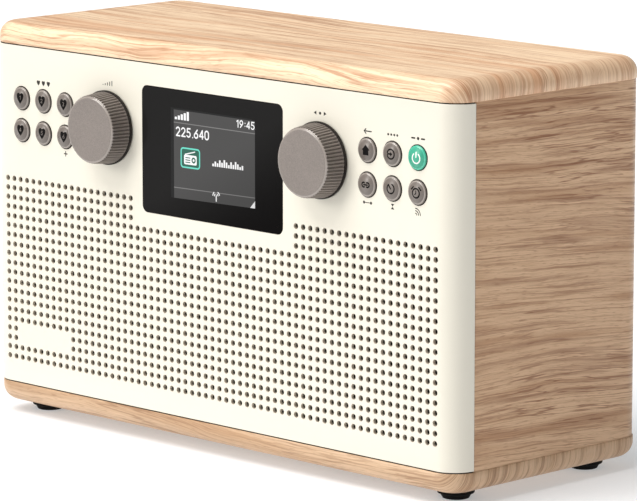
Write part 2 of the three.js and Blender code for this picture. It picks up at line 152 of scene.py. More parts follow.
def new_material(name, colour, roughness, metallic=0.0):
    material = bpy.data.materials.new(name)
    material.use_nodes = True
    shader = material.node_tree.nodes["Principled BSDF"]
    feed(shader, "Base Color", (*colour, 1))
    feed(shader, "Roughness", roughness)
    feed(shader, "Metallic", metallic)
    return material, material.node_tree, shader


def node(tree, kind, settings=None, **inputs):
    """A shader node; inputs are given by socket name with _ for a space, or by i0, i1 for a number."""
    made = tree.nodes.new("ShaderNode" + kind)
    for key, value in (settings or {}).items():
        setattr(made, key, value)
    for key, value in inputs.items():
        numbered = key[0] == "i" and key[1:].isdigit()
        feed(made, int(key[1:]) if numbered else key.replace("_", " "), value)
    return made


def math_node(tree, operation, a, b=0.0):
    return node(tree, "Math", {"operation": operation}, i0=a, i1=b).outputs[0]


def product(tree, a, b):
    return math_node(tree, "MULTIPLY", a, b)


def total(tree, a, b):
    return math_node(tree, "ADD", a, b)


def centred(tree, value):
    """A noise value, moved so that it swings about zero."""
    return math_node(tree, "SUBTRACT", value, 0.5)


def noise(tree, vector, scale, detail=2.0, roughness=0.5, offset=(0, 0, 0)):
    """Soft noise from 0 to 1; the scale is one number, or one for each axis."""
    if isinstance(scale, tuple):
        vector, scale = stretched(tree, vector, scale, offset), 1.0
    made = node(tree, "TexNoise", None, Vector=vector, Scale=scale, Detail=detail, Roughness=roughness)
    return made.outputs["Fac"]


def stretched(tree, vector, scale, offset=(0, 0, 0)):
    return node(tree, "Mapping", None, Vector=vector, Scale=scale, Location=offset).outputs[0]


def ramp(tree, factor, *stops):
    """A colour ramp of (position, colour) stops."""
    made = node(tree, "ValToRGB", None, Fac=factor)
    elements = made.color_ramp.elements
    while len(elements) < len(stops):
        elements.new(0.5)
    for element, (position, colour) in zip(elements, stops):
        element.position = position
        element.color = (*colour, 1)
    return made.outputs["Color"]


def steps(tree, factor, low, high, at_low=0.0, at_high=1.0):
    """A smooth step from at_low to at_high, as the factor goes from low to high."""
    limits = {"From_Min": low, "From_Max": high, "To_Min": at_low, "To_Max": at_high}
    made = node(tree, "MapRange", {"interpolation_type": "SMOOTHSTEP"}, Value=factor, **limits)
    return made.outputs["Result"]


def mix(tree, factor, a, b):
    made = node(tree, "Mix", {"data_type": "RGBA"}, i0=factor)
    for place, value in ((6, a), (7, b)):
        feed(made, place, (*value, 1) if isinstance(value, tuple) else value)
    return made.outputs[2]


def bump(tree, shader, height, strength, distance):
    made = node(tree, "Bump", None, Strength=strength, Distance=distance, Height=height)
    feed(shader, "Normal", made.outputs[0])


def object_space(tree):
    return node(tree, "TexCoord").outputs["Object"]


# ---- Materials ----


def oak(name, seed, tones, tilt, wave=1.0, short=1.0, fine=1.0, figure=1.0, end_tone=0.0):
    """Light oak: u of the map named grain runs along the fibres and v across them, in metres.

    The tones are light, tan and dark. tilt turns the fibres, in radians, wave is how far they wander,
    short how often they end and fine how thin they are. figure is how dark the streaks are, and
    end_tone how much darker the cabinet's left and right edges are.
    """
    light, tan, dark = tones
    material, tree, shader = new_material(name, tan, 0.5)
    grain = node(tree, "UVMap", {"uv_map": "grain"}).outputs[0]
    grain = node(tree, "Mapping", None, Vector=grain, Rotation=(0, 0, tilt)).outputs[0]
    grain = node(tree, "VectorMath", {"operation": "ADD"}, i0=grain, i1=(seed, seed * 0.7, seed)).outputs[0]
    swell = noise(tree, grain, (7, 16, 1), 1.0)
    ripple = noise(tree, grain, (38, 90, 1))
    shift = product(tree, centred(tree, swell), 0.030 * wave)
    small = product(tree, centred(tree, ripple), 0.0045 * wave)
    wander = node(tree, "CombineXYZ", None, Y=total(tree, shift, small)).outputs[0]
    fibre = node(tree, "VectorMath", {"operation": "ADD"}, i0=grain, i1=wander).outputs[0]

    def layer(along, across, detail, offset):
        return noise(tree, fibre, (along * short, across * fine, 1), detail, 0.6, offset)

    bands = layer(3, 62, 3.0, (0, 0, 0))
    streaks = layer(7, 260, 4.0, (3, 1, 0))
    lines = layer(14, 900, 3.0, (5, 2, 0))
    pores = noise(tree, fibre, (190, 2400, 1), 1.0, 0.5, (1, 7, 0))
    patches = noise(tree, fibre, (8 * short, 24, 1), 2.0, 0.5, (9, 4, 0))

    colour = ramp(tree, bands, (0.34, tan), (0.46, light), (0.55, light), (0.66, tan))
    dark_streak = steps(tree, streaks, 0.48, 0.68, 0.0, 0.8 * figure)
    dark_streak = product(tree, dark_streak, steps(tree, patches, 0.36, 0.62, 0.38, 1.0))
    dark_line = steps(tree, lines, 0.48, 0.70, 0.0, 0.52 * figure)
    dark_pore = steps(tree, pores, 0.58, 0.70, 0.0, 0.38)
    vein = math_node(tree, "ABSOLUTE", centred(tree, layer(6, 170, 3.0, (2, 5, 0))))
    vein = steps(tree, vein, 0.004, 0.022, 0.75 * figure, 0.0)
    vein = product(tree, vein, steps(tree, patches, 0.40, 0.58, 0.1, 1.0))
    across = node(tree, "SeparateXYZ", None, Vector=object_space(tree)).outputs["X"]
    at_end = steps(tree, math_node(tree, "ABSOLUTE", across), 0.124, 0.131, 0.0, end_tone)
    for share in (dark_streak, dark_line, dark_pore, vein, at_end):
        colour = mix(tree, share, colour, dark)
    feed(shader, "Base Color", colour)
    feed(shader, "Roughness", steps(tree, lines, 0.3, 0.8, 0.34, 0.52))
    deep_lines = product(tree, lines, -0.6)
    relief = total(tree, deep_lines, product(tree, pores, -0.5))
    bump(tree, shader, relief, 0.6, 0.0004)
    return material


def moulded(name, colour, roughness, fleck=0.06, texture=9000, relief=0.12, gleam=0.5):
    """Moulded plastic: a fine spark texture with a slight mottle in colour and gloss."""
    material, tree, shader = new_material(name, colour, roughness)
    feed(shader, "Specular IOR Level", gleam)
    place = object_space(tree)
    fine = noise(tree, place, texture, 2.0, 0.6)
    cloudy = noise(tree, place, 60, 2.0, 0.5)
    darker = tuple(c * (1 - fleck) for c in colour)
    lighter = tuple(min(1.0, c * (1 + fleck)) for c in colour)
    tone = total(tree, product(tree, fine, 0.8), product(tree, cloudy, 0.2))
    feed(shader, "Base Color", ramp(tree, tone, (0.32, darker), (0.68, lighter)))
    gloss = steps(tree, cloudy, 0.3, 0.7, roughness - 0.04, roughness + 0.04)
    feed(shader, "Roughness", gloss)
    bump(tree, shader, fine, relief, 0.00004)
    return material


def brushed(name, colour, roughness, stretch=(600, 6000, 6000)):
    """Drawn or brushed metal with fine lines along x."""
    material, tree, shader = new_material(name, colour, roughness, 1.0)
    lines = noise(tree, object_space(tree), stretch, 2.0, 0.6)
    feed(shader, "Roughness", steps(tree, lines, 0.3, 0.7, roughness - 0.05, roughness + 0.08))
    dull = tuple(c * 0.86 for c in colour)
    feed(shader, "Base Color", ramp(tree, lines, (0.3, dull), (0.7, colour)))
    bump(tree, shader, lines, 0.05, 0.00002)
    return material


def woven(name, colour):
    """Plain woven cloth: crossing threads."""
    thread = 0.45
    material, tree, shader = new_material(name, colour, 0.9)
    place = node(tree, "SeparateXYZ", None, Vector=object_space(tree)).outputs
    turn = pi / (thread * MM)
    across = math_node(tree, "SINE", product(tree, place["X"], turn))
    along = math_node(tree, "SINE", product(tree, place["Z"], turn))
    weave = product(tree, across, along)
    pale = tuple(c * 1.8 for c in colour)
    feed(shader, "Base Color", ramp(tree, steps(tree, weave, -1, 1), (0.0, colour), (1.0, pale)))
    feed(shader, "Sheen Weight", 0.15)
    bump(tree, shader, weave, 0.4, 0.0001)
    return material


SCREEN_IOR = 1.11


def painted_glare_fade(tree):
    """The fade of a painted reflection on the screen's glass: 1 in its upper left corner, falling to 0 in the
    lower right one.
    """
    place = node(tree, "SeparateXYZ", None, Vector=object_space(tree)).outputs
    low, high = cad_box("display_window")
    fall = total(tree, product(tree, place["X"], -0.55), place["Z"])
    return steps(tree, fall, (low.z - 20) * MM, (high.z + 2) * MM)


def lit(name, colour, strength):
    """Part of the screen: it shines through the same glossy front as the black around it. Its glow is
    brighter towards the upper left, a painted reflection.
    """
    material, tree, shader = new_material(name, (0.006, 0.006, 0.006), 0.06)
    feed(shader, "IOR", SCREEN_IOR)
    level = steps(tree, painted_glare_fade(tree), 0.0, 1.0, 0.72, 1.12)
    dots = noise(tree, object_space(tree), 5200, 1.0, 0.5)
    level = product(tree, level, steps(tree, dots, 0.2, 0.8, 0.96, 1.04))
    glow = mix(tree, level, (0, 0, 0), colour)
    feed(shader, "Emission Color", glow)
    feed(shader, "Emission Strength", strength)
    return material


def screen_black():
    """Black glass, a little lighter towards the upper left: a painted reflection."""
    material, tree, shader = new_material("window_black", (0.006, 0.006, 0.007), 0.06)
    feed(shader, "IOR", SCREEN_IOR)
    black, painted_reflection = (0.002, 0.0015, 0.0015), (0.014, 0.0135, 0.0135)
    shade = ramp(tree, painted_glare_fade(tree), (0.0, black), (0.65, painted_reflection))
    feed(shader, "Base Color", shade)
    smear = noise(tree, object_space(tree), 40, 3.0, 0.5)
    feed(shader, "Roughness", steps(tree, smear, 0.3, 0.7, 0.04, 0.09))
    return material


def circuit_board():
    """Solder mask with buried copper tracks."""
    material, tree, shader = new_material("solder_mask", (0.02, 0.12, 0.05), 0.35)
    place = object_space(tree)
    track_space = stretched(tree, place, (90, 90, 260))
    tracks = node(tree, "TexBrick", None, Vector=track_space, Scale=1.0).outputs["Fac"]
    speckle = noise(tree, place, 700, 2.0, 0.5)
    colour = mix(tree, tracks, (0.014, 0.09, 0.035), (0.04, 0.2, 0.085))
    colour = mix(tree, steps(tree, speckle, 0.55, 0.7, 0.0, 0.35), colour, (0.01, 0.05, 0.02))
    feed(shader, "Base Color", colour)
    bump(tree, shader, tracks, 0.2, 0.00005)
    return material


def make_materials():
    # The top, base and side boards are one oak. The base's and the sides' tones are darker copies of the
    # top's: painted shade for the less light that falls on the boards that face down and sideways.
    top_tones = (1.0, 0.76, 0.52), (0.83, 0.505, 0.30), (0.42, 0.18, 0.08)
    shaded_base_tones = (0.64, 0.435, 0.275), (0.54, 0.335, 0.19), (0.27, 0.135, 0.06)
    shaded_side_tones = (0.68, 0.445, 0.27), (0.48, 0.27, 0.14), (0.25, 0.098, 0.036)
    return {
        "oak_top": oak("oak_top", 0.31, top_tones, 0.02, wave=0.7, fine=1.15, figure=0.85, end_tone=0.28),
        "oak_base": oak("oak_base", 2.83, shaded_base_tones, -0.01, wave=0.6, figure=0.8),
        "oak_side": oak("oak_side", 5.17, shaded_side_tones, 0.07, wave=0.40, short=1.7, fine=1.4, figure=1.05),
        "cream": moulded("cream_plastic", (0.80, 0.762, 0.662), 0.42, 0.015, 5000, 0.04),
        # hole: the panel's cream made darker, painted shade inside the grille's holes
        "hole": moulded("shaded_hole_wall", (0.60, 0.54, 0.45), 0.6, 0.05, 3000, 0.1),
        "shade": moulded("shadow_plastic", (0.022, 0.018, 0.015), 0.6, 0.1, 3000, 0.1, 0.2),
        # rim: a lighter copy of the knob and key plastics, a painted highlight along rounded edges; its low
        # roughness is the plastic's own gloss
        "rim": moulded("highlight_rim", (0.33, 0.29, 0.262), 0.16, 0.06, 4200, 0.05, 0.8),
        # groove: the knob plastic made darker, painted shade in the rib grooves
        "groove": moulded("shaded_groove", (0.095, 0.08, 0.07), 0.5, 0.1, 3000, 0.1, 0.3),
        "key": moulded("key_plastic", (0.175, 0.149, 0.133), 0.30, 0.12, 3600, 0.12),
        # a lighter copy of the green plastic: a painted highlight along the standby key's edge; its low
        # roughness is the plastic's own gloss
        "green_highlight_rim": moulded("green_highlight_rim", (0.07, 0.52, 0.35), 0.16, 0.04, 4200, 0.05, 0.8),
        "taupe": moulded("taupe_plastic", (0.215, 0.184, 0.166), 0.34, 0.2, 3000, 0.2),
        "green": moulded("green_plastic", (0.05, 0.39, 0.255), 0.34, 0.06, 4200, 0.08),
        "black": moulded("black_plastic", (0.022, 0.022, 0.023), 0.48, 0.25, 2600, 0.35),
        "socket": moulded("socket_plastic", (0.012, 0.012, 0.012), 0.3, 0.2, 4000, 0.1),
        "rubber": moulded("foot_rubber", (0.004, 0.0038, 0.0036), 0.7, 0.3, 1800, 0.3, 0.15),
        "ink": moulded("printed_ink", (0.008, 0.007, 0.007), 0.7, 0.1, 5000, 0.05, 0.05),
        "label_ink": moulded("label_ink", (0.04, 0.037, 0.034), 0.7, 0.1, 5000, 0.05, 0.1),
        "white_ink": moulded("white_ink", (0.9, 0.9, 0.88), 0.45, 0.03, 5000, 0.05),
        "window": screen_black(),
        "screen_edge": lit("screen_edge", (0.9, 0.9, 0.9), 0.022),
        "screen_grey": lit("screen_grey", (1.0, 0.98, 0.97), 0.085),
        "screen_line": lit("screen_line", (1.0, 0.98, 0.97), 0.24),
        "screen_white": lit("screen_white", (1.0, 1.0, 1.0), 1.05),
        "screen_teal": lit("screen_teal", (0.2, 0.85, 0.68), 0.95),
        "screen_green": lit("screen_green", (0.09, 0.3, 0.22), 0.5),
        "cloth": woven("acoustic_cloth", (0.016, 0.015, 0.014)),
        "steel": brushed("steel", (0.56, 0.57, 0.58), 0.3),
        "dark_steel": brushed("dark_steel", (0.05, 0.05, 0.053), 0.4),
        "chrome": brushed("chrome", (0.80, 0.81, 0.82), 0.1, (60, 3000, 3000)),
        "paper": moulded("paper_cone", (0.028, 0.027, 0.025), 0.85, 0.3, 900, 0.5),
        "board": circuit_board(),
        "ribbon": moulded("ribbon_film", (0.5, 0.25, 0.06), 0.3, 0.15, 300, 0.1),
    }


# ---- Flat drawings: outlines in the plane, in millimetres ----


def arc(x, y, radius, start, end, count=12):
    turn = (end - start) / count
    angles = [radians(start + turn * i) for i in range(count + 1)]
    return [(x + radius * cos(a), y + radius * sin(a)) for a in angles]


def circle(x, y, radius, sides=24):
    return arc(x, y, radius, 0, 360, sides)[:-1]


def rounded(x, y, width, height, radius, count=6):
    """The outline of a rounded rectangle, centred on x and y."""
    right, top = width / 2 - radius, height / 2 - radius
    corners = [(right, top, 0), (-right, top, 90), (-right, -top, 180), (right, -top, 270)]
    return [
        point
        for cx, cy, start in corners
        for point in arc(x + cx, y + cy, radius, start, start + 90, count)
    ]


def stroke(points, width):
    """A pen line with round ends, as one outline for each of its straight lengths."""
    outlines = []
    for (ax, ay), (bx, by) in zip(points, points[1:]):
        heading = degrees(atan2(by - ay, bx - ax))
        far = arc(bx, by, width / 2, heading - 90, heading + 90, 4)
        outlines.append(far + arc(ax, ay, width / 2, heading + 90, heading + 270, 4))
    return outlines


def pen_lines(width, *paths):
    return [outline for path in paths for outline in stroke(path, width)]


def moved(outlines, x, y, scale=1.0):
    return [[(x + px * scale, y + py * scale) for px, py in outline] for outline in outlines]


def inside(point, outline):
    x, y = point
    within = False
    for (ax, ay), (bx, by) in zip(outline, outline[1:] + outline[:1]):
        if (ay > y) != (by > y) and x < ax + (y - ay) * (bx - ax) / (by - ay):
            within = not within
    return within


# Numerals, one unit high, drawn with a round pen
DIGITS = {
    "0": [arc(0.3, 0.68, 0.28, 0, 180, 8) + arc(0.3, 0.32, 0.28, 180, 360, 8) + [(0.58, 0.68)]],
    "1": [[(0.12, 0.8), (0.36, 0.96), (0.36, 0.04)]],
    "2": [arc(0.3, 0.69, 0.27, 160, -30, 8) + [(0.05, 0.04), (0.6, 0.04)]],
    "3": [arc(0.28, 0.73, 0.23, 150, -90, 8), arc(0.28, 0.27, 0.24, 90, -150, 8)],
    "4": [[(0.6, 0.28), (0.02, 0.28), (0.46, 0.96), (0.46, 0.04)]],
    "5": [[(0.55, 0.96), (0.12, 0.96), (0.09, 0.55)] + arc(0.28, 0.32, 0.28, 120, -150, 9)],
    "6": [[(0.5, 0.94), (0.12, 0.5)] + arc(0.3, 0.31, 0.27, 160, -200, 12)],
    "9": [[(0.12, 0.06), (0.5, 0.5)] + arc(0.3, 0.69, 0.27, -20, 340, 12)],
    ":": [[(0.15, 0.3), (0.15, 0.31)], [(0.15, 0.7), (0.15, 0.71)]],
    ".": [[(0.12, 0.04), (0.12, 0.05)]],
}
DIGIT_WIDTH = {":": 0.42, ".": 0.34, "1": 0.66}


def numerals(text, x, y, height, pen=0.15, centred=False):
    widths = [DIGIT_WIDTH.get(c, 0.84) for c in text]
    at = x - (sum(widths) - 0.24) * height / 2 if centred else x
    outlines = []
    for letter, width in zip(text, widths):
        for line in DIGITS[letter]:
            outlines += moved(stroke(line, pen), at, y, height)
        at += width * height
    return outlines


def heart(width, height):
    """A full, rounded heart with its point at the bottom."""
    lobe = width * 0.27
    half, top = width / 2, height / 2
    left = arc(-half + lobe, top - lobe, lobe, 180, 30, 10)
    right = arc(half - lobe, top - lobe, lobe, 150, 0, 10)
    shoulder = top - lobe
    right_side = [
        (half * (1 - t**2.6), shoulder - (shoulder + top) * (0.55 * t + 0.45 * t**2))
        for t in (i / 8 for i in range(1, 8))
    ]
    left_side = [(-x, y) for x, y in reversed(right_side)]
    return [*left, (0, height * 0.40), *right, *right_side, (0, -top), *left_side]


def key_symbol(name):
    """What is printed on a key: a list of (ink, outline), later ones over earlier ones."""
    pen = 0.5
    if name.startswith("preset"):
        number = numerals(name[-1], 0, -0.55, 1.7, 0.13, centred=True)
        return [("ink", heart(4.2, 4.6))] + [("key", outline) for outline in number]
    drawings = {
        "home": [[(-1.7, 0.1), (0, 1.8), (1.7, 0.1), (1.2, 0.1), (1.2, -1.5), (-1.2, -1.5), (-1.2, 0.1)]],
        "source": pen_lines(pen, arc(0, 0, 1.5, 165, -165, 20), [(-1.2, 0), (0.2, 0)])
        + [[(-0.15, 0.75), (0.75, 0), (-0.15, -0.75)]],
        "standby": pen_lines(0.44, arc(0, -0.1, 1.6, 128, 412, 20), [(0, 0.2), (0, 1.75)]),
        "pair": pen_lines(pen, arc(-0.8, 0, 0.75, 60, 300, 14), arc(0.8, 0, 0.75, -120, 120, 14))
        + pen_lines(pen, [(-0.75, 0), (0.75, 0)]),
        "timer": pen_lines(pen, arc(0, 0, 1.5, 70, -235, 20), [(-0.75, 0.95), (0, 0)]),
        "alarm": pen_lines(pen, circle(0, -0.15, 1.45, 20) + [(1.45, -0.15)])
        + pen_lines(0.34, [(0, 0.6), (0, -0.25), (-0.5, -0.6)])
        + pen_lines(pen, [(-2.0, 0.95), (-1.15, 1.75)], [(2.0, 0.95), (1.15, 1.75)]),
    }
    ink = "white_ink" if name == "standby" else "ink"
    return [(ink, outline) for outline in moved(drawings[name], 0, 0, 1.25)]


def label_marks():
    """Small marks printed by the controls, each under or over its own control."""
    pen = 0.36
    bars = [rounded(-2.0 + i, -0.75 + 0.16 * i, 0.36, 0.3 + 0.32 * i, 0.1, 2) for i in range(5)]
    arrows = [[(side * 1.5, 0.6), (side * 2.6, 0), (side * 1.5, -0.6)] for side in (-1, 1)]
    arrows.append(circle(0, 0, 0.45, 12))
    hearts = [outline for x in (-2.3, 0, 2.3) for outline in moved([heart(1.5, 1.6)], x, 0)]
    plus = pen_lines(pen, [(-0.7, 0), (0.7, 0)], [(0, -0.7), (0, 0.7)])
    back = pen_lines(pen, [(-1.4, 0), (1.5, 0)], [(-0.7, 0.65), (-1.4, 0), (-0.7, -0.65)])
    dots = [circle(x, 0, 0.38, 10) for x in (-1.8, -0.6, 0.6, 1.8)]
    dash = pen_lines(0.5, [(-2.5, 0), (-1.3, 0)], [(1.3, 0), (2.5, 0)]) + [circle(0, 0, 0.5, 12)]
    linked = [circle(-1.4, 0, 0.45, 12), circle(1.4, 0, 0.45, 12)] + stroke([(-1.4, 0), (1.4, 0)], 0.22)
    glass = [[(-0.7, 0.8), (0.7, 0.8), (0, 0)], [(-0.7, -0.8), (0, 0), (0.7, -0.8)]]
    waves = pen_lines(0.32, *(arc(-0.9, -1.3, radius, 0, 90, 6) for radius in (0.5, 1.2, 1.9)))
    controls = {name: cad_centre(name + "_button") for name in BUTTON_NAMES}
    above, below = 7.4, -7.1
    knob_above = 18.5
    drawings = [
        (hearts, controls["preset_2"], above),
        (plus, controls["preset_6"], below),
        (back, controls["home"], above),
        (dots, controls["source"], above),
        (dash, controls["standby"], above),
        (linked, controls["pair"], below),
        (glass, controls["timer"], below),
        (waves, controls["alarm"], below),
        (bars, cad_centre("volume_knob"), knob_above),
        (arrows, cad_centre("select_knob"), knob_above),
    ]
    return [
        ("label_ink", outline)
        for outlines, centre, up in drawings
        for outline in moved(outlines, centre.x, centre.z + up, 1.35)
    ]


def picture():
    """The screen's picture, from its lower left corner up: a list of (ink, outline)."""
    width, height = 46.9, 36.1
    edge = 1.8
    inks = [("screen_edge", box_outline(-edge, 0, width, height + 0.7))]
    inks.append(("screen_grey", box_outline(0, 0, width, height)))
    header, footer = height - 5.2, height - 31.8
    for line in (header, footer):
        inks.append(("screen_line", box_outline(0, line - 0.16, width, 0.36)))
    white = [box_outline(0.6 + 1.75 * i, header + 1.3, 1.25, 1.0 + 0.65 * i) for i in range(5)]
    white += numerals("19:45", 36.2, header + 1.6, 3.1)
    white += numerals("225.640", 1.3, height - 10.6, 3.7, 0.16)
    levels = [0.9, 1.7, 1.2, 2.3, 1.6, 2.6, 1.9, 1.1, 2.2, 1.4, 2.5, 1.8, 1.0, 1.5]
    white += [box_outline(22.4 + 1.3 * i, height - 21.0, 0.9, 1.2 * level) for i, level in enumerate(levels)]
    mast = (24.6, height - 35.2)
    white += stroke([mast, (mast[0], mast[1] + 2.2)], 0.6)
    for radius in (1.1, 2.0):
        for start in (20, 130):
            white += stroke(arc(mast[0], mast[1] + 1.9, radius, start, start + 40, 6), 0.5)
    white.append([(width - 2.8, 0), (width, 0), (width, 3.0)])
    icon_x, icon_z = 9.6, height - 19.1
    inks.append(("screen_teal", rounded(icon_x, icon_z, 11.4, 8.4, 1.5)))
    inks.append(("screen_green", rounded(icon_x, icon_z, 10.2, 7.2, 1.0)))
    set_body = rounded(icon_x, icon_z - 0.7, 7.4, 3.9, 0.7)
    aerial = stroke([(icon_x - 3.0, icon_z + 1.4), (icon_x + 2.6, icon_z + 2.8)], 0.45)
    inks += [("screen_white", outline) for outline in [*white, set_body, *aerial]]
    inks.append(("screen_green", circle(icon_x + 1.9, icon_z - 0.7, 1.25, 18)))
    inks.append(("screen_white", circle(icon_x + 1.9, icon_z - 0.7, 0.55, 12)))
    for i in range(3):
        inks.append(("screen_green", box_outline(icon_x - 2.9, icon_z - 2.0 + 0.95 * i, 2.9, 0.42)))
    return width, height, inks


def box_outline(x, y, width, height):
    return [(x, y), (x + width, y), (x + width, y + height), (x, y + height)]


# ---- Meshes ----


def triangulate(outline, holes=(), inks=(), in_hole=None):
    """Triangles of a flat outline, each with its ink, and where each hole's points ended up."""
    loops = [outline, *holes, *(shape for _, shape in inks)]
    points, edges, starts = [], [], []
    for loop in loops:
        starts.append(len(points))
        points += [Vector(point) for point in loop]
        last = len(points) - 1
        edges += [(i, i + 1) for i in range(starts[-1], last)] + [(last, starts[-1])]
    made = delaunay_2d_cdt(points, edges, [], 1, 1e-5)
    where = {source: i for i, sources in enumerate(made[3]) for source in sources}
    loop_points = [
        [where[start + i] for i in range(len(loop))] for start, loop in zip(starts, loops)
    ]
    boxes = [
        (min(x for x, _ in s), max(x for x, _ in s), min(y for _, y in s), max(y for _, y in s))
        for _, s in inks
    ]
    triangles = []
    for face in made[2]:
        middle = sum((made[0][i] for i in face), Vector((0, 0))) / len(face)
        if in_hole and in_hole(middle):
            continue
        ink = None
        for (name, shape), (left, right, low, high) in zip(inks, boxes):
            if left <= middle.x <= right and low <= middle.y <= high and inside(middle, shape):
                ink = name
        triangles.append((face, ink))
    return made[0], triangles, loop_points[: 1 + len(holes)]


class Shape:
    """Vertices and faces in millimetres, with y counted back from start.

    A face's ink is the key of its material, or 0 for the piece's first one. A face may also have a
    rule that gives the normal at each of its corners.
    """

    def __init__(self, start=0.0):
        self.start = start
        self.points, self.faces, self.inks, self.normals, self.grain = [], [], [], {}, {}

    def point(self, x, y, z, grain=None):
        self.points.append((x, y + self.start, z))
        if grain:
            self.grain[len(self.points) - 1] = grain
        return len(self.points) - 1

    def face(self, *corners, ink=0, normal=None):
        corners = tuple(dict.fromkeys(corners))
        if len(corners) < 3:
            return
        if normal:
            self.normals[len(self.faces)] = normal
        self.faces.append(corners)
        self.inks.append(ink)

    def bridge(self, ring, following, ink=0, normal=None, closed=True):
        count = len(ring)
        for i in range(count if closed else count - 1):
            j = (i + 1) % count
            self.face(ring[i], ring[j], following[j], following[i], ink=ink, normal=normal)

    def loft(self, rings, ink=0, closed=True):
        for ring, following in zip(rings, rings[1:]):
            self.bridge(ring, following, ink, None, closed)

    def fill(self, triangles, points, ink, normal=None, printed=True):
        """Faces of triangulate's flat outline; one that isn't printed is the back, turned over."""
        for face, mark in triangles:
            corners = [points[i] for i in (face if printed else reversed(face))]
            self.face(*corners, ink=(mark if printed else None) or ink, normal=normal)

    def turned(self, profile, centre, axis, sides):
        """A turned solid: profile is (radius, along) pairs from one end on the axis to the other."""
        rings = []
        for radius, along in profile:
            count = 1 if radius == 0 else sides
            ring = []
            for i in range(count):
                angle = 2 * pi * i / sides
                a, b = radius * cos(angle), radius * sin(angle)
                local = {"x": (along, a, b), "y": (a, along, b), "z": (a, b, along)}[axis]
                ring.append(self.point(*(Vector(centre) + Vector(local))))
            rings.append(ring * sides if count == 1 else ring)
        self.loft(rings)

    def box(self, low, high):
        x, y, z = ((low[i], high[i]) for i in range(3))
        corners = [self.point(a, b, c) for c in z for b in y for a in x]
        for quad in ((0, 2, 3, 1), (4, 5, 7, 6), (0, 1, 5, 4), (2, 6, 7, 3), (0, 4, 6, 2), (1, 3, 7, 5)):
            self.face(*(corners[i] for i in quad))


def make_piece(name, shape, inks, body, sharp, bevel=0.0, visual_only=False):
    """Turns a shape into an object that rides on a body and stands for the CAD node of its own name.

    Edges turn sharply where their faces meet at more than sharp degrees.
    """
    mesh = bpy.data.meshes.new(name)
    mesh.from_pydata([(x * MM, y * MM, z * MM) for x, y, z in shape.points], [], shape.faces)
    for key in inks:
        mesh.materials.append(MATERIALS[key])
    lookup = {key: i for i, key in enumerate(inks)}
    mesh.polygons.foreach_set("material_index", [lookup.get(ink, 0) for ink in shape.inks])
    mesh.polygons.foreach_set("use_smooth", [True] * len(mesh.polygons))
    if shape.grain:
        layer = mesh.uv_layers.new(name="grain")
        for loop in mesh.loops:
            u, v = shape.grain.get(loop.vertex_index, (0, 0))
            layer.data[loop.index].uv = (u * MM, v * MM)
    work = bmesh.new()
    work.from_mesh(mesh)
    bmesh.ops.recalc_face_normals(work, faces=work.faces)
    for edge in work.edges:
        edge.smooth = edge.is_manifold and edge.calc_face_angle() < radians(sharp)
    work.to_mesh(mesh)
    work.free()
    if shape.normals:
        mesh.update()
        corners = [normal.vector.copy() for normal in mesh.corner_normals]
        for index, rule in shape.normals.items():
            for loop in mesh.polygons[index].loop_indices:
                corners[loop] = rule(mesh.vertices[mesh.loops[loop].vertex_index].co)
        mesh.normals_split_custom_set(corners)
    piece = add_object(name, mesh)
    if bevel:
        modifier = piece.modifiers.new("edges", "BEVEL")
        modifier.width = bevel * MM
        modifier.segments = 2
        modifier.limit_method = "ANGLE"
        modifier.angle_limit = radians(40)
        modifier.harden_normals = True
    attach(piece, body)
    if not visual_only:
        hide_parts(name)
    return piece


# ---- Cabinet caps and side boards ----


def plan_outline(inset):
    """The cabinet from above, as (point, outward direction) pairs."""
    count = 14
    x = HALF_WIDTH - CORNER_RADIUS
    corners = [(x, CORNER_RADIUS, -90), (x, DEPTH - CORNER_RADIUS, 0)]
    corners += [(-x, DEPTH - CORNER_RADIUS, 90), (-x, CORNER_RADIUS, 180)]
    outline = []
    for cx, cy, start in corners:
        for i in range(count + 1):
            angle = radians(start + 90 * i / count)
            out = Vector((cos(angle), sin(angle)))
            outline.append((Vector((cx, cy)) + out * (CORNER_RADIUS - inset), out))
    return outline


def cap(name, joint_z, face_z, material):
    """The top or the bottom board. The grain runs on down over its rounded edge."""
    up = 1 if face_z > joint_z else -1
    height = abs(face_z - joint_z)
    girth = CAP_FILLET * pi / 2
    ease = 0.25
    # Each level: how far in from the outline, how far from the joint and how far round the fillet
    levels = [(1.2, 0.0, 0.0), (ease, 0.0, 0.0), (0.0, ease, 0.0)]
    arc_steps = 14
    for i in range(arc_steps + 1):
        angle = pi / 2 * i / arc_steps
        rise = height - CAP_FILLET * (1 - sin(angle))
        levels.append((CAP_FILLET * (1 - cos(angle)), rise, CAP_FILLET * angle))
    levels.append((CAP_FILLET + 1.5, height, girth + 1.5))
    shape = Shape(FRONT_Y)
    rings = []
    for inset, rise, run in levels:
        spread = girth - run if rise > ease else girth + (height - CAP_FILLET) - rise
        ring = []
        for point, out in plan_outline(inset):
            flat = point + out * (inset - CAP_FILLET) + out * spread
            ring.append(shape.point(point.x, point.y, joint_z + up * rise, (flat.x, flat.y)))
        rings.append(ring)
    shape.loft(rings)
    shape.face(*rings[0][::-1])
    shape.face(*rings[-1])
    make_piece(name, shape, [material], "root", 50)


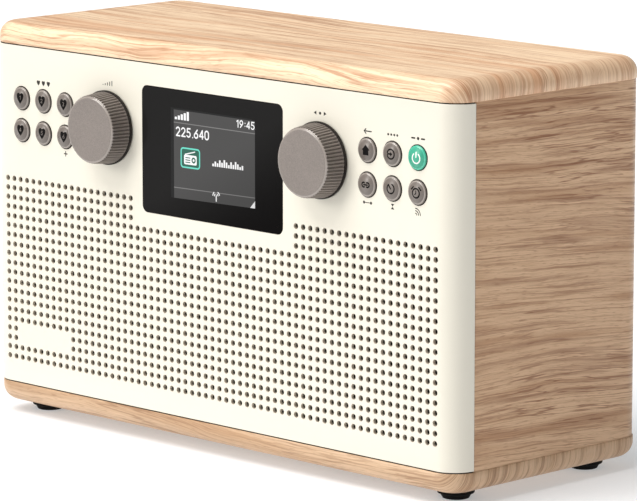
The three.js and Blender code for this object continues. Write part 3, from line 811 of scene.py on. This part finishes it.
def side_board(name, sign):
    low, high = cad_box(name)
    outer, inner = max(abs(low.x), abs(high.x)), min(abs(low.x), abs(high.x))
    front, back = low.y - FRONT_Y, high.y - FRONT_Y
    radius = CORNER_RADIUS - (HALF_WIDTH - outer)
    ease = 0.35
    path = [(inner, front), *arc(outer - ease, front + ease, ease, -90, 0, 4)]
    path += [*arc(outer - radius, back - radius, radius, 0, 90, 18), (inner, back)]
    run = [0.0]
    for (ax, ay), (bx, by) in zip(path, path[1:]):
        run.append(run[-1] + hypot(bx - ax, by - ay))
    shape = Shape(FRONT_Y)
    rings = [
        [shape.point(sign * x, y, z, (along, z)) for (x, y), along in zip(path, run)]
        for z in (low.z, high.z)
    ]
    shape.bridge(*rings)
    shape.face(*rings[0][::-1])
    shape.face(*rings[1])
    make_piece(name, shape, ["oak_side"], "root", 40)


# ---- Front panel ----

GRILLE = {"pitch": 4.0, "columns": 63, "rows": 20, "radius": 1.17, "above_base": 10.9, "sides": 16}
STEP_ROWS, STEP_REACH = 3, 11
GRILLE_WALL = 1.35
PANEL_THICK = 2.5
PANEL_EDGE = 0.35
EASE = 0.08


def grille_hole(column, row):
    """Whether there is a hole: the grille steps down under the window and has a bare patch at the left."""
    middle = (GRILLE["columns"] - 1) / 2
    under_window = row >= GRILLE["rows"] - STEP_ROWS and abs(column - middle) <= STEP_REACH
    bare_patch = row in (2, 3) and 2 <= column <= 9
    in_field = 0 <= column < GRILLE["columns"] and 0 <= row < GRILLE["rows"]
    return in_field and not (under_window or bare_patch)


def grille_place(column, row):
    x = GRILLE["pitch"] * (column - (GRILLE["columns"] - 1) / 2)
    return x, PANEL_LOW.z + GRILLE["above_base"] + row * GRILLE["pitch"]


def panel_depth(x, z):
    """How thick the panel is: it is thinned behind the grille, but not round the window."""
    row = (z - PANEL_LOW.z - GRILLE["above_base"]) / GRILLE["pitch"]
    column = x / GRILLE["pitch"]
    margin = 0.6  # of the pitch, past the outermost holes
    top = GRILLE["rows"] - 1 - (STEP_ROWS if abs(column) < STEP_REACH + margin else 0) + margin
    thinned = abs(column) < GRILLE["columns"] / 2 and -margin < row < top
    return GRILLE_WALL if thinned else PANEL_THICK


def wrap(s, z, depth):
    """A point of the panel's flat drawing, bent round the cabinet's front corners."""
    flat = HALF_WIDTH - CORNER_RADIUS
    beyond = abs(s) - flat
    if beyond <= 0:
        return (s, depth, z)
    angle = beyond / CORNER_RADIUS
    radius = CORNER_RADIUS - depth
    side = copysign(1, s)
    return (side * (flat + radius * sin(angle)), CORNER_RADIUS - radius * cos(angle), z)


def panel_normal(co):
    """The outward direction of the panel's face at a point, in metres."""
    x, y = co.x / MM, co.y / MM - FRONT_Y
    flat = HALF_WIDTH - CORNER_RADIUS
    if abs(x) <= flat:
        return Vector((0, -1, 0))
    return Vector((x - copysign(flat, x), y - CORNER_RADIUS, 0)).normalized()


def panel_holes():
    """The round holes, as (x, z, radius, sides), and how many of them, at the start, are the grille's."""
    holes = [
        (*grille_place(column, row), GRILLE["radius"], GRILLE["sides"])
        for column in range(GRILLE["columns"])
        for row in range(GRILLE["rows"])
        if grille_hole(column, row)
    ]
    controls = [(name + "_button", 5.1, 48) for name in BUTTON_NAMES]
    controls += [("volume_knob", 3.6, 24), ("select_knob", 3.6, 24)]
    for name, radius, sides in controls:
        centre = cad_centre(name)
        holes.append((centre.x, centre.z, radius, sides))
    return holes, len(holes) - len(controls)


def front_panel():
    """The panel is drawn flat with its openings, then bent round the cabinet's front corners."""
    reach = HALF_WIDTH - CORNER_RADIUS + 1.6
    holes, grille_count = panel_holes()
    low, high = cad_box("display_window")
    gap = 0.3
    width, height = high.x - low.x + 2 * gap, high.z - low.z + 2 * gap

    def loops(ease):
        window = rounded(
            (low.x + high.x) / 2, (low.z + high.z) / 2, width + 2 * ease, height + 2 * ease, 3 + ease
        )
        return [circle(x, z, radius + ease, sides) for x, z, radius, sides in holes] + [window]

    def in_hole(point):
        first_x, first_z = grille_place(0, 0)
        column = round((point.x - first_x) / GRILLE["pitch"])
        row = round((point.y - first_z) / GRILLE["pitch"])
        near = [(*grille_place(column, row), GRILLE["radius"], 0)] if grille_hole(column, row) else []
        for x, z, radius, _ in near + holes[grille_count:]:
            if hypot(point.x - x, point.y - z) < radius + EASE:
                return True
        return inside(point, front_loops[-1])

    front_loops, deep_loops = loops(EASE), loops(0)
    straight = PANEL_HIGH.z - PANEL_LOW.z - 2 * PANEL_EDGE
    levels = [PANEL_LOW.z + PANEL_EDGE + straight * i / 72 for i in range(73)]
    outline = [(reach, z) for z in levels] + [(-reach, z) for z in reversed(levels)]
    flat, triangles, where = triangulate(outline, front_loops, label_marks(), in_hole)

    shape = Shape(FRONT_Y)
    inner_place = {}
    for indices, loop in zip(where[1:], deep_loops):
        inner_place.update(zip(indices, loop))
    front, back = {}, {}
    for face, _ in triangles:
        for i in face:
            if i not in front:
                front[i] = shape.point(*wrap(flat[i].x, flat[i].y, 0))
                x, z = inner_place.get(i, flat[i])
                back[i] = shape.point(*wrap(x, z, panel_depth(x, z)))
    shape.fill(triangles, front, "cream", panel_normal)
    shape.fill(triangles, back, "cream", printed=False)
    for number, (indices, loop) in enumerate(zip(where[1:], deep_loops)):
        # The openings' walls are painted shade: darkened cream in the grille's holes, near black round the
        # keys, knobs and window.
        ink = "hole" if number < grille_count else "shade"
        rim = [shape.point(*wrap(x, z, EASE)) for x, z in loop]
        shape.bridge([front[i] for i in indices], rim, ink)
        shape.bridge(rim, [back[i] for i in indices], ink)

    ends = {1: where[0][: len(levels)], -1: where[0][len(levels) :][::-1]}
    corners = {}
    for side, indices in ends.items():
        first = (side * reach, [front[i] for i in indices], [back[i] for i in indices])
        corners[side] = panel_corner(shape, side, first, levels)
    panel_rim(shape, corners[1], corners[-1], levels)
    make_piece("front_panel", shape, ["cream", "hole", "shade", "label_ink"], "root", 25)


def panel_corner(shape, side, first, levels):
    """One rounded corner: columns of (place along the flat drawing, outer points, inner points)."""
    turned = acos(1 - (PANEL_HIGH.y - FRONT_Y) / CORNER_RADIUS)
    end = HALF_WIDTH - CORNER_RADIUS + CORNER_RADIUS * turned - PANEL_EDGE
    reach = abs(first[0])
    columns = [first]
    steps_round = 18
    for k in range(1, steps_round + 1):
        s = side * (reach + (end - reach) * k / steps_round)
        outer = [shape.point(*wrap(s, z, 0)) for z in levels]
        inner = [shape.point(*wrap(s, z, PANEL_THICK)) for z in levels]
        shape.bridge(columns[-1][1], outer, "cream", panel_normal, closed=False)
        shape.bridge(columns[-1][2], inner, "cream", closed=False)
        columns.append((s, outer, inner))
    return columns


def panel_rim(shape, right, left, levels):
    """The rounded edge: up the right end, along the top, down the left end and along the bottom."""
    last = len(levels) - 1
    places = [(right[-1], i) for i in range(last + 1)]
    places += [(column, last) for column in right[-2::-1] + left[:-1]]
    places += [(left[-1], i) for i in reversed(range(last + 1))]
    places += [(column, 0) for column in left[-2::-1] + right[:-1]]
    end = right[-1][0]

    def ring_at(out, depth):
        ring = []
        for (s, _, _), i in places:
            along = s + (copysign(out, s) if abs(abs(s) - end) < 1e-6 else 0)
            z = levels[i] + (out if i == last else -out if i == 0 else 0)
            ring.append(shape.point(*wrap(along, z, depth)))
        return ring

    ring = [outer[i] for (_, outer, _), i in places]
    # From the rounding's last step back, the edge takes the shade ink: painted shade, the dark line along the
    # panel's top and bottom.
    for turn, ink in ((30, "cream"), (60, "cream"), (90, "shade")):
        angle = radians(turn)
        following = ring_at(PANEL_EDGE * sin(angle), PANEL_EDGE * (1 - cos(angle)))
        shape.bridge(ring, following, ink)
        ring = following
    deepest = ring_at(PANEL_EDGE, PANEL_THICK)
    shape.bridge(ring, deepest, "shade")
    shape.bridge(deepest, [inner[i] for (_, _, inner), i in places], "cream")


def panel_shadow_seal(name, low_z, high_z):
    """A dark strip shaped as a seal in the gap above or below the front panel: it is painted shade, the
    shadow in that gap.
    """
    front, back, ease = 0.35, 2.2, 0.1
    end = HALF_WIDTH - CORNER_RADIUS + CORNER_RADIUS * radians(86)
    run = [-end + 2 * end * i / 240 for i in range(241)]
    section = [(front + ease, low_z), (front, low_z + ease), (front, high_z - ease), (front + ease, high_z)]
    section += [(back, high_z), (back, low_z)]
    shape = Shape(FRONT_Y)
    rings = [[shape.point(*wrap(s, z, depth)) for depth, z in section] for s in run]
    shape.loft(rings)
    shape.face(*rings[0])
    shape.face(*rings[-1][::-1])
    make_piece(name, shape, ["rubber"], "root", 50, visual_only=True)


# ---- Display window ----


def display_window():
    low, high = cad_box("display_window")
    grow, ease, radius = 0.2, 0.15, 2.9
    middle = cad_centre("display_window")
    picture_width, picture_height, inks = picture()
    left, base = middle.x - picture_width / 2 + 1.5, middle.z - picture_height / 2 - 0.2
    lift = 1.05  # the picture's lower edge rises this much to the right

    def placed(x, z):
        return left + x, base + z + lift * x / picture_width * (1 - z / picture_height)

    inks = [(ink, [placed(x, z) for x, z in outline]) for ink, outline in inks]

    def outline_at(inset):
        width, height = high.x - low.x + 2 * (grow - inset), high.z - low.z + 2 * (grow - inset)
        return rounded(middle.x, middle.z, width, height, radius - inset)

    flat, triangles, where = triangulate(outline_at(ease), (), inks)
    shape = Shape(FRONT_Y)
    front = {i: shape.point(p.x, 0, p.y) for i, p in enumerate(flat)}
    shape.fill(triangles, front, "window", lambda co: Vector((0, -1, 0)))
    rings = [[front[i] for i in where[0]]]
    for inset, deep in ((ease * 0.3, ease * 0.3), (0, ease), (0, high.y - low.y)):
        rings.append([shape.point(x, deep, z) for x, z in outline_at(inset)])
    shape.loft(rings, "window")
    shape.face(*rings[-1], ink="window")
    used = ["window"] + ["screen_" + part for part in ("edge", "grey", "line", "white", "teal", "green")]
    make_piece("display_window", shape, used, "root", 25)


# ---- Knobs ----

KNOB = {"taper": 0.8, "fillet": 1.6, "shadow_ring": 0.9, "ring_out": 0.45, "ribs": 64, "per_rib": 12}
RIB_GROOVE = {"half_width": 0.45, "depth": 0.6, "front": -9.2, "back": -1.9}


def knob_profile(rear_radius, front, back):
    """(radius, along) pairs from the middle of the face back, and where the dark rear ring, a painted shadow
    between the knob and the panel, begins.
    """
    radius = rear_radius - KNOB["taper"]
    fillet = KNOB["fillet"]
    profile = [(0, front), (radius * 0.5, front), (radius - fillet - 0.5, front)]
    profile += [
        (radius - fillet + fillet * sin(a), front + fillet * (1 - cos(a)))
        for a in (radians(9 * i) for i in range(11))
    ]
    rows = 40
    skirt = back - KNOB["shadow_ring"]
    start, finish = front + fillet, skirt - 0.3
    profile += [
        (radius + KNOB["taper"] * i / rows, start + (finish - start) * i / rows) for i in range(1, rows + 1)
    ]
    profile += [(rear_radius - 0.09, skirt - 0.09), (rear_radius - 0.3, skirt)]
    ring_radius = rear_radius + KNOB["ring_out"]
    return profile + [(ring_radius, skirt + 0.1), (ring_radius, back), (0, back)], len(profile) - 1


def knob(name, body):
    low, high = cad_box(name)
    centre = (low + high) / 2
    front = low.y - FRONT_Y
    profile, shadow_from = knob_profile((high.x - low.x) / 2, front, high.y - FRONT_Y)
    per_rib, sides = KNOB["per_rib"], KNOB["ribs"] * KNOB["per_rib"]
    shape = Shape(FRONT_Y)
    rings = []
    for radius, along in profile:
        if radius == 0:
            rings.append([shape.point(centre.x, along, centre.z)] * sides)
            continue
        ring = []
        overshoot = max(RIB_GROOVE["front"] - along, along - RIB_GROOVE["back"], 0.0)
        for i in range(sides):
            phase = (i % per_rib) / per_rib - 0.5
            sideways = abs(phase) * 2 * pi * radius / KNOB["ribs"]
            reach = min(1.0, hypot(sideways, overshoot) / RIB_GROOVE["half_width"])
            grooved = along > front + 0.5
            r = radius - (RIB_GROOVE["depth"] * sqrt(1 - reach * reach) if grooved else 0)
            angle = 2 * pi * i / sides
            ring.append(shape.point(centre.x + r * cos(angle), along, centre.z + r * sin(angle)))
        rings.append(ring)
    for i, (ring, following) in enumerate(zip(rings, rings[1:])):
        # The rear ring is painted shade, the fillet's middle steps are a painted highlight and the rib
        # grooves are painted shade.
        ink = "shade" if i >= shadow_from else "rim" if 5 <= i <= 8 else "taupe"
        ribbed = RIB_GROOVE["front"] < profile[i][1] < RIB_GROOVE["back"]
        for k in range(sides):
            after = (k + 1) % sides
            in_groove = ribbed and abs(k % per_rib - (per_rib - 1) / 2) < 1
            corners = (ring[k], ring[after], following[after], following[k])
            shape.face(*corners, ink="groove" if in_groove else ink)
    make_piece(name, shape, ["taupe", "rim", "groove", "shade"], body, 40)


# ---- Buttons ----

BUTTON = {"face": 4.1, "dome": 0.35, "lean": 4.2, "radius": 4.8, "printed": 3.1}


def dome_normal_at(centre):
    """The direction of a button's domed face, from where its centre is."""
    curve = 2 * BUTTON["lean"] * BUTTON["dome"] / BUTTON["face"] ** 2

    def rule(co):
        x, z = co.x / MM - centre.x, co.z / MM - centre.z
        return Vector((x * curve, -1, z * curve)).normalized()

    return rule


def button(name):
    node_name = name + "_button"
    low, high = cad_box(node_name)
    centre = (low + high) / 2
    front = low.y - FRONT_Y
    green = name == "standby"
    colour, highlight_colour = ("green", "green_highlight_rim") if green else ("key", "rim")
    sides = 64

    def height(radius):
        return front + BUTTON["dome"] * (radius / BUTTON["face"]) ** 2

    shape = Shape(FRONT_Y)
    flat, triangles, where = triangulate(circle(0, 0, BUTTON["printed"], sides), (), key_symbol(name))
    ring = {i: shape.point(centre.x + p.x, height(p.length), centre.z + p.y) for i, p in enumerate(flat)}
    rule = dome_normal_at(centre)
    shape.fill(triangles, ring, colour, rule)
    ring = [ring[i] for i in where[0]]

    edge, drop, arc_steps = BUTTON["radius"] - BUTTON["face"], 0.65, 6
    flange_radius, flange_front, flange_back, stem = 5.7, 2.7, 3.6, 2
    profile = [(radius, height(radius), colour, rule) for radius in (3.4, 3.8, BUTTON["face"])]
    for i in range(1, arc_steps + 1):
        a = pi / 2 * i / arc_steps
        along = height(BUTTON["face"]) + drop * (1 - cos(a))
        # The front half of the rounded edge is a painted highlight.
        ink = highlight_colour if i <= arc_steps / 2 else colour
        profile.append((BUTTON["face"] + edge * sin(a), along, ink, None))
    # The side wall, flange and stem take the shade ink: painted shade round each key.
    for radius, along in (
        (BUTTON["radius"], flange_front),
        (flange_radius, flange_front),
        (flange_radius, flange_back),
        (stem, flange_back),
        (stem, high.y - FRONT_Y),
    ):
        profile.append((radius, along, "shade", None))
    for radius, along, ink, normal in profile:
        points = circle(0, 0, radius, sides)
        following = [shape.point(centre.x + x, along, centre.z + z) for x, z in points]
        shape.bridge(ring, following, ink, normal)
        ring = following
    shape.face(*ring, ink="shade")
    inks = [colour, highlight_colour, "shade", "white_ink" if green else "ink"]
    make_piece(node_name, shape, inks, name, 30)


# ---- Feet ----


def foot(name):
    low, high = cad_box(name)
    radius = (high.x - low.x) / 2
    top = high.z
    profile = [(0, 0), (radius - 2.4, 0), (radius - 2.1, 0.12), (radius - 1.95, 0.4)]
    profile += [(radius - 1.35, 1.5), (radius - 1.25, 1.75), (radius - 0.55, 1.95), (radius - 0.15, 2.15)]
    profile += [(radius, 2.5), (radius, top - 0.3), (radius - 0.25, top), (0, top)]
    shape = Shape()
    shape.turned(profile, ((low.x + high.x) / 2, (low.y + high.y) / 2, 0), "z", 56)
    make_piece(name, shape, ["rubber"], "root", 35)


# ---- Grille cloth ----


def grille_cloth():
    low, high = cad_box("grille_cloth")
    width, height = high.x - low.x, high.z - low.z
    columns, rows = 123, 42
    shape = Shape()

    def pucker(i, j):
        return 0.05 * sin(i * 2.1) * sin(j * 1.7)

    rims = []
    for face_y in (low.y + 0.08, high.y - 0.08):
        grid = [
            [
                shape.point(low.x + width * i / columns, face_y + pucker(i, j), low.z + height * j / rows)
                for i in range(columns + 1)
            ]
            for j in range(rows + 1)
        ]
        shape.loft(grid, closed=False)
        right, left = [row[-1] for row in grid[1:]], [row[0] for row in grid[-2:0:-1]]
        rims.append(grid[0] + right + grid[-1][-2::-1] + left)
    shape.bridge(*rims)
    cloth = make_piece("grille_cloth", shape, ["cloth"], "root", 60)


# ---- Back: cover, screws and aerial ----


AERIAL_REST_X = -60


def back_cover():
    low, high = cad_box("rear_panel")
    plate_back = back_plate_face()
    outline = rounded(0, (low.z + high.z) / 2, high.x - low.x, high.z - low.z, 0.6, 2)
    holes = []
    for name in SOCKETS:
        a, b = cad_box(name)
        holes.append(rounded((a.x + b.x) / 2, (a.z + b.z) / 2, b.x - a.x + 0.6, b.z - a.z + 0.6, 0.5, 3))
    for i in range(1, 5):
        centre = cad_centre(f"rear_screw_{i}")
        holes.append(circle(centre.x, centre.z, 1.9, 24))

    def in_hole(point):
        return any(inside(point, hole) for hole in holes)

    flat, triangles, where = triangulate(outline, holes, socket_marks(), in_hole)
    shape = Shape()
    thick = 2.5
    outer = {i: shape.point(p.x, plate_back, p.y) for i, p in enumerate(flat)}
    inner = {i: shape.point(p.x, plate_back - thick, p.y) for i, p in enumerate(flat)}
    shape.fill(triangles, outer, "black")
    shape.fill(triangles, inner, "black", printed=False)
    for loop in where:
        shape.bridge([outer[i] for i in loop], [inner[i] for i in loop], "black")
    make_piece("rear_panel", shape, ["black", "white_ink"], "root", 30, bevel=0.3)


def aerial_rest():
    """The ledge under the folded aerial, near its far end."""
    half_width, height, gap = 4, 2, 0.3
    _, cover_high = cad_box("rear_panel")
    aerial_low, _ = cad_box("aerial_section_1")
    top = aerial_low.z - gap
    shape = Shape()
    shape.box(
        (AERIAL_REST_X - half_width, back_plate_face() - 1, top - height),
        (AERIAL_REST_X + half_width, cover_high.y, top),
    )
    make_piece("aerial_rest", shape, ["black"], "root", 30, bevel=0.6, visual_only=True)


def back_plate_face():
    """The outer face of the back cover's plate: the aerial's boss stands on it."""
    low, _ = cad_box("aerial_mount")
    return low.y - 0.1


def socket_marks():
    """A small mark printed over each socket."""
    pen = 0.35
    drawings = {
        "dc_inlet": [circle(0, 0, 0.5, 12)]
        + pen_lines(pen, arc(0, 0, 1.3, 40, 320, 14), [(0, 0), (2.4, 0)], [(-1.3, 0), (-2.4, 0)]),
        "usb_port": pen_lines(pen, [(-2, 0), (2, 0)])
        + [circle(-2, 0, 0.6, 12), [(1.8, 0.6), (2.9, 0), (1.8, -0.6)]],
        "aux_socket": pen_lines(pen, circle(0, 0, 1.4, 18) + [(1.4, 0)]) + [circle(0, 0, 0.5, 12)],
        "headphone_socket": pen_lines(pen, arc(0, 0, 1.5, 0, 180, 12))
        + [rounded(side * 1.5, -0.5, 0.9, 1.5, 0.3, 3) for side in (-1, 1)],
    }
    marks = []
    for name, drawing in drawings.items():
        low, high = cad_box(name)
        marks += moved(drawing, (low.x + high.x) / 2, high.z + 5)
    return [("white_ink", mark) for mark in marks]


def screw(name):
    low, high = cad_box(name)
    centre = (low + high) / 2
    head, shank, height = (high.x - low.x) / 2, 1.5, 1.7
    base = high.y - height
    shape = Shape()
    dome = [
        (head * cos(a), base + 0.5 + (height - 0.5) * sin(a))
        for a in (radians(12 * i) for i in range(6))
    ]
    profile = [(0, low.y), (shank * 0.6, low.y + 0.6), (shank, low.y + 1.6), (shank, base), (head, base)]
    profile += dome + [(1.25, high.y - 0.12), (1.1, high.y - 0.9), (0, high.y - 1.05)]
    shape.turned(profile, (centre.x, 0, centre.z), "y", 36)
    make_piece(name, shape, ["dark_steel"], "root", 35)


def aerial():
    mount_low, mount_high = cad_box("aerial_mount")
    hub = ((mount_low.x + mount_high.x) / 2, 0, (mount_low.z + mount_high.z) / 2)
    shape = Shape()
    a, b = mount_low.y, mount_high.y
    shape.turned([(0, a), (6, a), (6, b - 0.8), (5.2, b), (0, b)], hub, "y", 48)
    make_piece("aerial_mount", shape, ["black"], "root", 35, bevel=0.15)

    low, high = cad_box("aerial_swivel")
    shape = Shape()
    floor = low.y + 1.6
    disc = [(0, low.y), (5.3, low.y), (5.6, low.y + 0.3), (5.6, floor - 0.4), (5.2, floor), (0, floor)]
    shape.turned(disc, hub, "y", 48)
    for side in (-1, 1):
        ear_z = hub[2] + side * 2.9
        shape.box((hub[0] - 3.5, floor - 0.3, ear_z - 0.9), (hub[0] + 3.5, high.y, ear_z + 0.9))
    make_piece("aerial_swivel", shape, ["chrome"], "aerial_fork", 35, bevel=0.35)

    low, high = cad_box("aerial_pin")
    middle = ((low.x + high.x) / 2, (low.y + high.y) / 2, 0)
    shape = Shape()
    profile = [(0, low.z), (0.8, low.z), (1, low.z + 0.2), (1, high.z - 0.2), (0.8, high.z), (0, high.z)]
    shape.turned(profile, middle, "z", 24)
    make_piece("aerial_pin", shape, ["steel"], "aerial_fork", 35)
    for number in range(1, 5):
        aerial_section(number)


def aerial_section(number):
    """Sections 1 to 3 are tubes, each open for the next. The first has the hinge's tongue, the last a tip."""
    name = f"aerial_section_{number}"
    low, high = cad_box(name)
    pivot = cad_centre("aerial_pin")
    start, end = pivot.x - 9 if number == 1 else high.x, low.x
    shape = Shape()
    if number < 4:
        radius, wall, groove = (high.z - low.z) / 2, 0.45, 0.12
        inner = radius - wall
        profile = [(inner, start), (radius - 0.1, start), (radius, start - 0.3), (radius, end + 2.6)]
        profile += [(radius - groove, end + 2.4), (radius - groove, end + 2.1), (radius, end + 1.9)]
        profile += [(radius, end + 0.4), (radius - 0.15, end), (inner, end), (inner, start)]
    else:
        radius, tip, shoulder = 1.75, 2.6, end + 4
        profile = [(0, start), (radius, start), (radius, shoulder + 0.3), (2.3, shoulder + 0.1)]
        profile += [(tip, shoulder - 0.3), (tip, end + 0.9), (2.3, end + 0.3), (1.4, end), (0, end)]
    shape.turned(profile, (0, pivot.y, pivot.z), "x", 40)
    if number == 1:
        shape.box((start - 1, pivot.y - 2.6, pivot.z - 1.4), (pivot.x + 2.7, pivot.y + 2.6, pivot.z + 1.4))
    make_piece(name, shape, ["chrome"], f"aerial_{number}", 35, bevel=0.3 if number == 1 else 0)


# ---- Pieces that keep their CAD shape and take a better finish ----

KEPT = {
    "socket": SOCKETS,
    "black": ["inner_frame", "display_module", "volume_encoder", "select_encoder"],
    "steel": ["volume_shaft", "select_shaft", "select_rotor", "radio_module"],
    "board": ["left_control_board", "right_control_board", "main_board"],
    "ribbon": ["display_ribbon"],
    "dark_steel": [f"{side}_speaker_{part}" for side in ("left", "right") for part in ("basket", "magnet")],
    "paper": ["left_speaker_cone", "right_speaker_cone"],
}


def finish_kept_nodes():
    for key, names in KEPT.items():
        for name in names:
            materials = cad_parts[name].data.materials
            materials.clear()
            materials.append(MATERIALS[key])


# ---- The radio ----

MATERIALS = make_materials()
add_camera()
add_stage()

cap("top_cap", CAP_LOW.z, CAP_HIGH.z, "oak_top")
cap("bottom_cap", BASE_HIGH.z, BASE_LOW.z, "oak_base")
side_board("left_side_panel", -1)
side_board("right_side_panel", 1)
front_panel()
panel_shadow_seal("upper_shadow_seal", PANEL_HIGH.z + 0.02, CAP_LOW.z - 0.01)
panel_shadow_seal("lower_shadow_seal", BASE_HIGH.z + 0.01, PANEL_LOW.z - 0.02)
display_window()
knob("volume_knob", "volume")
knob("select_knob", "select_press")
for button_name in BUTTON_NAMES:
    button(button_name)
for foot_name in ("foot_front_left", "foot_front_right", "foot_back_left", "foot_back_right"):
    foot(foot_name)
grille_cloth()
back_cover()
aerial_rest()
for screw_number in range(1, 5):
    screw(f"rear_screw_{screw_number}")
aerial()
finish_kept_nodes()
